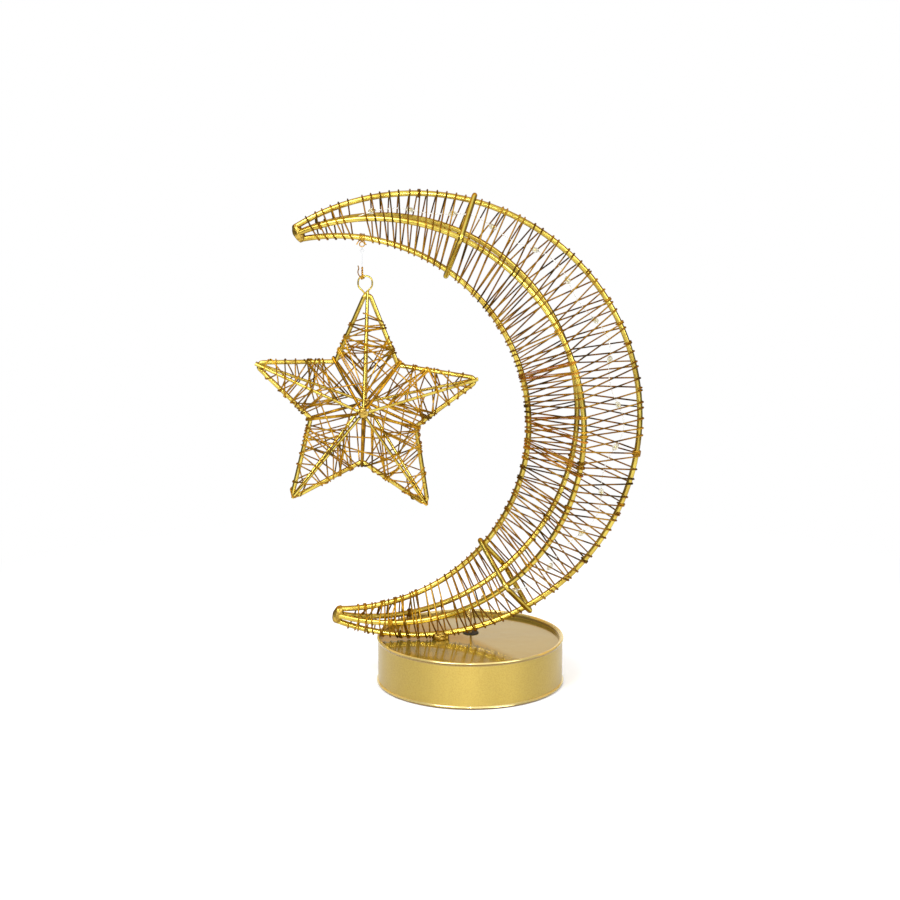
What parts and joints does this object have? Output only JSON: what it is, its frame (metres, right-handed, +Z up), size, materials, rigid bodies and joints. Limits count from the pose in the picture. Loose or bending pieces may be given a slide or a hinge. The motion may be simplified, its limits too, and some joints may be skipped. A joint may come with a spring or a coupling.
{
  "type": "eid crescent ornament",
  "caption": "Wire-wound crescent on a round tin base with a hanging wire star; battery fairy lights inside, for a table at a festival.",
  "frame": {"origin": "centre of the base's underside, on the surface that it stands on", "axes": "+Z up, -Y towards the viewer, +X to the right, so the crescent opens towards -X"},
  "size_m": [0.2074, 0.1024, 0.2678],
  "materials": {
    "gold_rod": "gold plated steel rod, satin to bright",
    "gold_wire": "bare copper-gold winding wire",
    "gold_weld": "plated weld beads",
    "gold_tin": "gold lacquered tin, satin side and glossy top",
    "lid_tin": "gold lacquered tin, satin",
    "black_rubber": "moulded rubber",
    "black_abs": "moulded ABS, fine texture",
    "switch_knob": "moulded, slightly glossy",
    "cell_can": "printed sleeve on a steel can",
    "contact_steel": "nickel plated spring steel",
    "lead_sleeve": "smooth amber PVC sleeve",
    "light_wire": "enamelled silver wire",
    "clear_resin": "clear cast resin",
    "clear_nylon": "clear drawn nylon"
  },
  "bodies": {
    "stand": {"back_spine": "gold_rod", "base_grommet": "black_rubber", "base_lid": "lid_tin", "base_shell": "gold_tin", "battery_box": "black_abs", "box_screws": "contact_steel", "cell_1": "cell_can", "cell_2": "cell_can", "cell_3": "cell_can", "contact_plates": "contact_steel", "contact_springs": "contact_steel", "foot_weld": "gold_weld", "front_spine": "gold_rod", "inner_rail": "gold_rod", "light_drops": "clear_resin", "light_string": "light_wire", "lower_brace": "gold_rod", "lower_tip_weld": "gold_weld", "outer_rail": "gold_rod", "rim_tie": "gold_wire", "supply_lead": "lead_sleeve", "switch_housing": "black_abs", "switch_screws": "contact_steel", "upper_brace": "gold_rod", "upper_tip_weld": "gold_weld", "winding_1": "gold_wire", "winding_2": "gold_wire", "winding_3": "gold_wire", "winding_4": "gold_wire", "winding_5": "gold_wire", "winding_6": "gold_wire", "winding_7": "gold_wire", "winding_8": "gold_wire"},
    "hanger_eye": {"hanger_eye": "clear_nylon"},
    "hanger_line": {"hanger_line": "clear_nylon"},
    "star": {"star_outline": "gold_rod", "front_valleys": "gold_rod", "back_valleys": "gold_rod", "front_apex_weld": "gold_weld", "back_apex_weld": "gold_weld", "star_ring": "gold_rod", "ring_tie": "gold_wire", "front_ridge_1": "gold_rod", "front_ridge_2": "gold_rod", "front_ridge_3": "gold_rod", "front_ridge_4": "gold_rod", "front_ridge_5": "gold_rod", "back_ridge_1": "gold_rod", "back_ridge_2": "gold_rod", "back_ridge_3": "gold_rod", "back_ridge_4": "gold_rod", "back_ridge_5": "gold_rod", "star_winding_1": "gold_wire", "star_winding_2": "gold_wire", "star_winding_3": "gold_wire", "star_winding_4": "gold_wire", "star_winding_5": "gold_wire"},
    "battery_door": {"battery_door": "black_abs"},
    "switch_slider": {"switch_slider": "switch_knob"}
  },
  "joints": [
    {"name": "star_fore_aft", "type": "hinge", "parent": "stand", "child": "hanger_eye", "pos_m": [-0.05721, 0, 0.2374], "axis": [1, 0, 0], "range_deg": [-30, 30]},
    {"name": "star_side_swing", "type": "hinge", "parent": "hanger_eye", "child": "hanger_line", "pos_m": [-0.05721, 0, 0.2358], "axis": [0, 1, 0], "range_deg": [-10, 30]},
    {"name": "star_twist", "type": "hinge", "parent": "hanger_line", "child": "star", "pos_m": [-0.05721, 0, 0.2271], "axis": [0, 0, 1], "range_deg": [-180, 180]},
    {"name": "switch_slide", "type": "slide", "parent": "stand", "child": "switch_slider", "axis": [1, 0, 0], "range_m": [0, 0.004]},
    {"name": "battery_door_hinge", "type": "hinge", "parent": "stand", "child": "battery_door", "pos_m": [-0.0274, 0, 0.0018], "axis": [0, 1, 0], "range_deg": [0, 90]}
  ]
}
